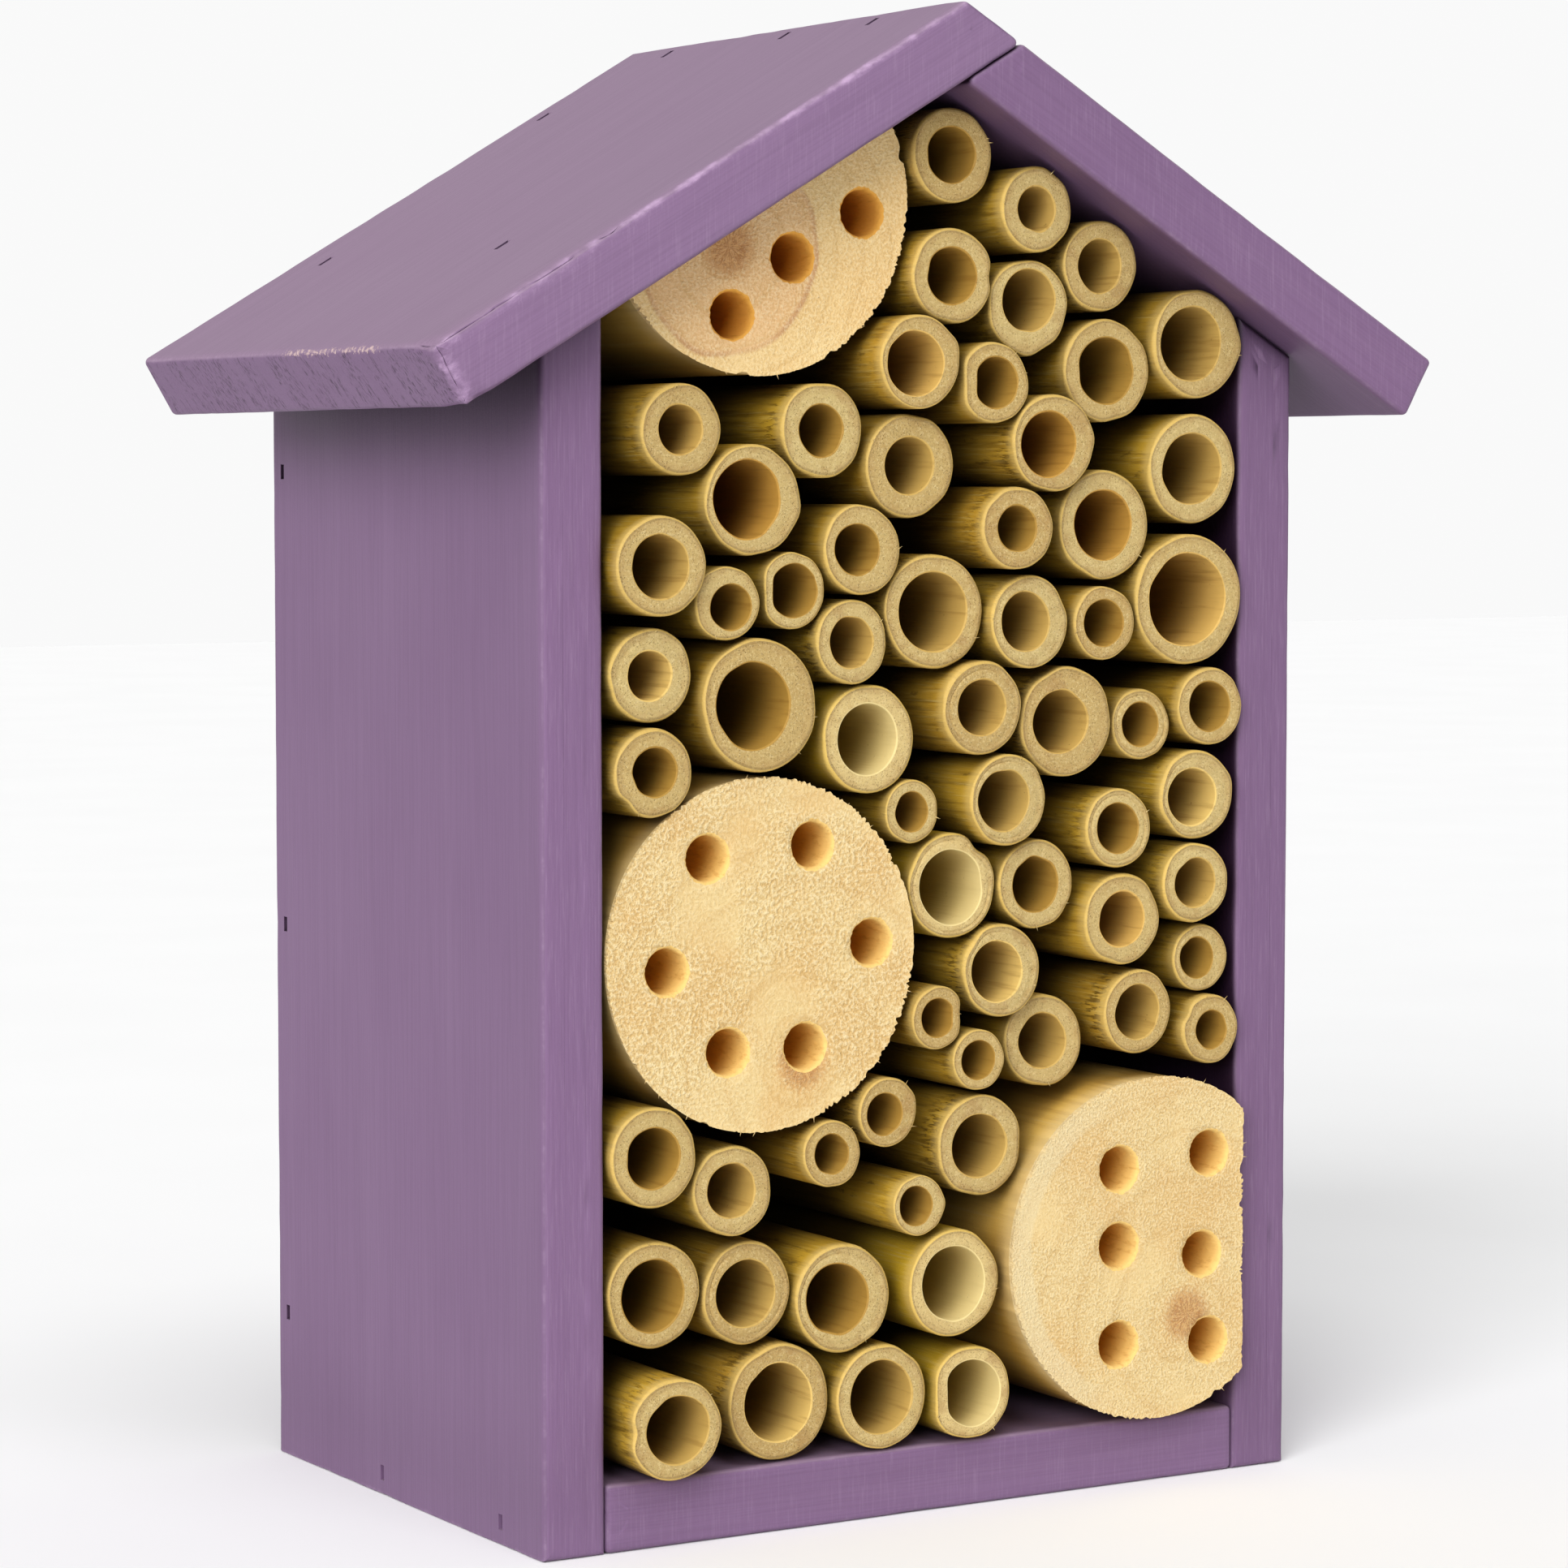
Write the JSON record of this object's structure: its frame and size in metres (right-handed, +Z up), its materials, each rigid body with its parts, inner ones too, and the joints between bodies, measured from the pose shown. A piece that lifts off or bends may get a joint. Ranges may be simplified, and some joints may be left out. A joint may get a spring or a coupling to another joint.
{
  "type": "insect hotel",
  "caption": "Open-fronted wooden house with a pitched roof, packed with hollow bamboo canes and drilled log sections as nest holes for insects.",
  "frame": {"origin": "under the middle of the house on the plane of its base, centred on the roof's width and depth", "axes": "+X to the right seen from the open front, +Y from the open front to the back panel, +Z up"},
  "size_m": [0.206, 0.118, 0.265],
  "materials": {
    "purple_paint": "semi-matte purple paint over sawn wood",
    "bamboo": "dry natural bamboo",
    "pine_log": "rough sawn end grain",
    "brad_steel": "dull steel, punched below the surface"
  },
  "bodies": {
    "root": {"left_side": "purple_paint", "right_side": "purple_paint", "floor_board": "purple_paint", "back_panel": "purple_paint", "roof_left": "purple_paint", "roof_right": "purple_paint", "side_brads": "brad_steel", "roof_brads": "brad_steel", "upper_log": "pine_log", "middle_log": "pine_log", "lower_log": "pine_log", "slim_canes": "bamboo", "cane_01": "bamboo", "cane_02": "bamboo", "cane_03": "bamboo", "cane_04": "bamboo", "cane_05": "bamboo", "cane_06": "bamboo", "cane_07": "bamboo", "cane_08": "bamboo", "cane_09": "bamboo", "cane_10": "bamboo", "cane_11": "bamboo", "cane_12": "bamboo", "cane_13": "bamboo", "cane_14": "bamboo", "cane_15": "bamboo", "cane_16": "bamboo", "cane_17": "bamboo", "cane_18": "bamboo", "cane_19": "bamboo", "cane_20": "bamboo", "cane_21": "bamboo", "cane_22": "bamboo", "cane_23": "bamboo", "cane_24": "bamboo", "cane_25": "bamboo", "cane_26": "bamboo", "cane_27": "bamboo", "cane_28": "bamboo", "cane_29": "bamboo", "cane_30": "bamboo", "cane_31": "bamboo", "cane_32": "bamboo", "cane_33": "bamboo", "cane_34": "bamboo", "cane_35": "bamboo", "cane_36": "bamboo", "cane_37": "bamboo", "cane_38": "bamboo", "cane_39": "bamboo", "cane_40": "bamboo", "cane_41": "bamboo", "cane_42": "bamboo", "cane_43": "bamboo", "cane_44": "bamboo", "cane_45": "bamboo", "cane_46": "bamboo", "cane_47": "bamboo", "cane_48": "bamboo"}
  },
  "joints": []
}
